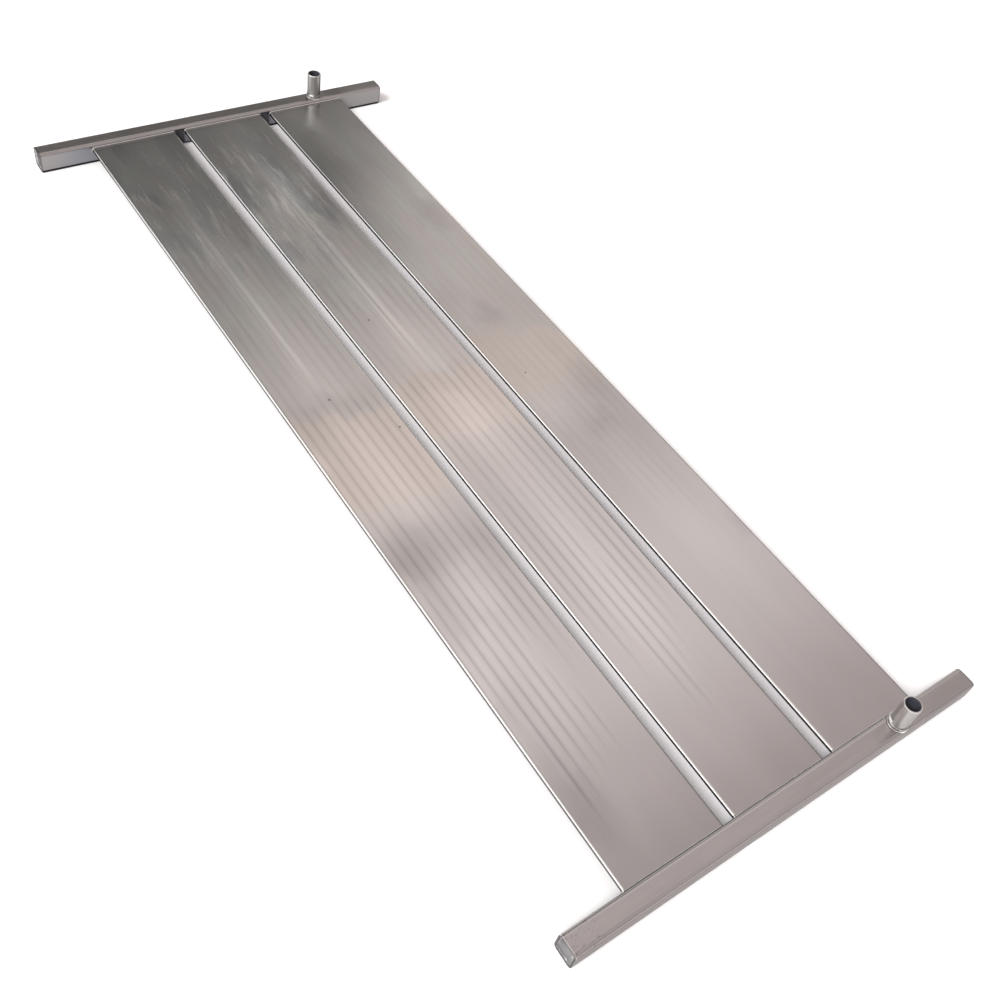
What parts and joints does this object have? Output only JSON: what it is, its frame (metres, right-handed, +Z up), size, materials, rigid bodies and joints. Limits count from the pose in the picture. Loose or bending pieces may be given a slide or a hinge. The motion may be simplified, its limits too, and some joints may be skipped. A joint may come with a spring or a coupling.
{
  "type": "battery cooling plate",
  "caption": "Liquid cooling plate for a battery pack: flat multi-channel panels brazed side by side between two header tubes, with a hose port on each header.",
  "frame": {"origin": "on the floor under the middle of the plate, level with the undersides of the headers", "axes": "+X along the headers, towards the end that carries the hose ports; +Y along the panels, from the near header to the far one; +Z up, out of the cell faces and along the ports"},
  "size_m": [0.352, 0.832, 0.0425],
  "materials": {
    "panel": "mill-finish extrusion with fine die lines and faint channel lines",
    "header": "mill-finish extruded tube, lightly scuffed",
    "port": "turned, satin",
    "cap": "sawn and brushed",
    "filler": "bright braze and weld filler, slightly rippled"
  },
  "bodies": {
    "root": {"left_panel": "panel", "middle_panel": "panel", "right_panel": "panel", "near_header": "header", "near_port": "port", "near_port_braze": "filler", "near_left_end_cap": "cap", "near_left_end_bead": "filler", "near_right_end_cap": "cap", "near_right_end_bead": "filler", "near_left_panel_braze": "filler", "near_middle_panel_braze": "filler", "near_right_panel_braze": "filler", "far_header": "header", "far_port": "port", "far_port_braze": "filler", "far_left_end_cap": "cap", "far_left_end_bead": "filler", "far_right_end_cap": "cap", "far_right_end_bead": "filler", "far_left_panel_braze": "filler", "far_middle_panel_braze": "filler", "far_right_panel_braze": "filler"}
  },
  "joints": []
}
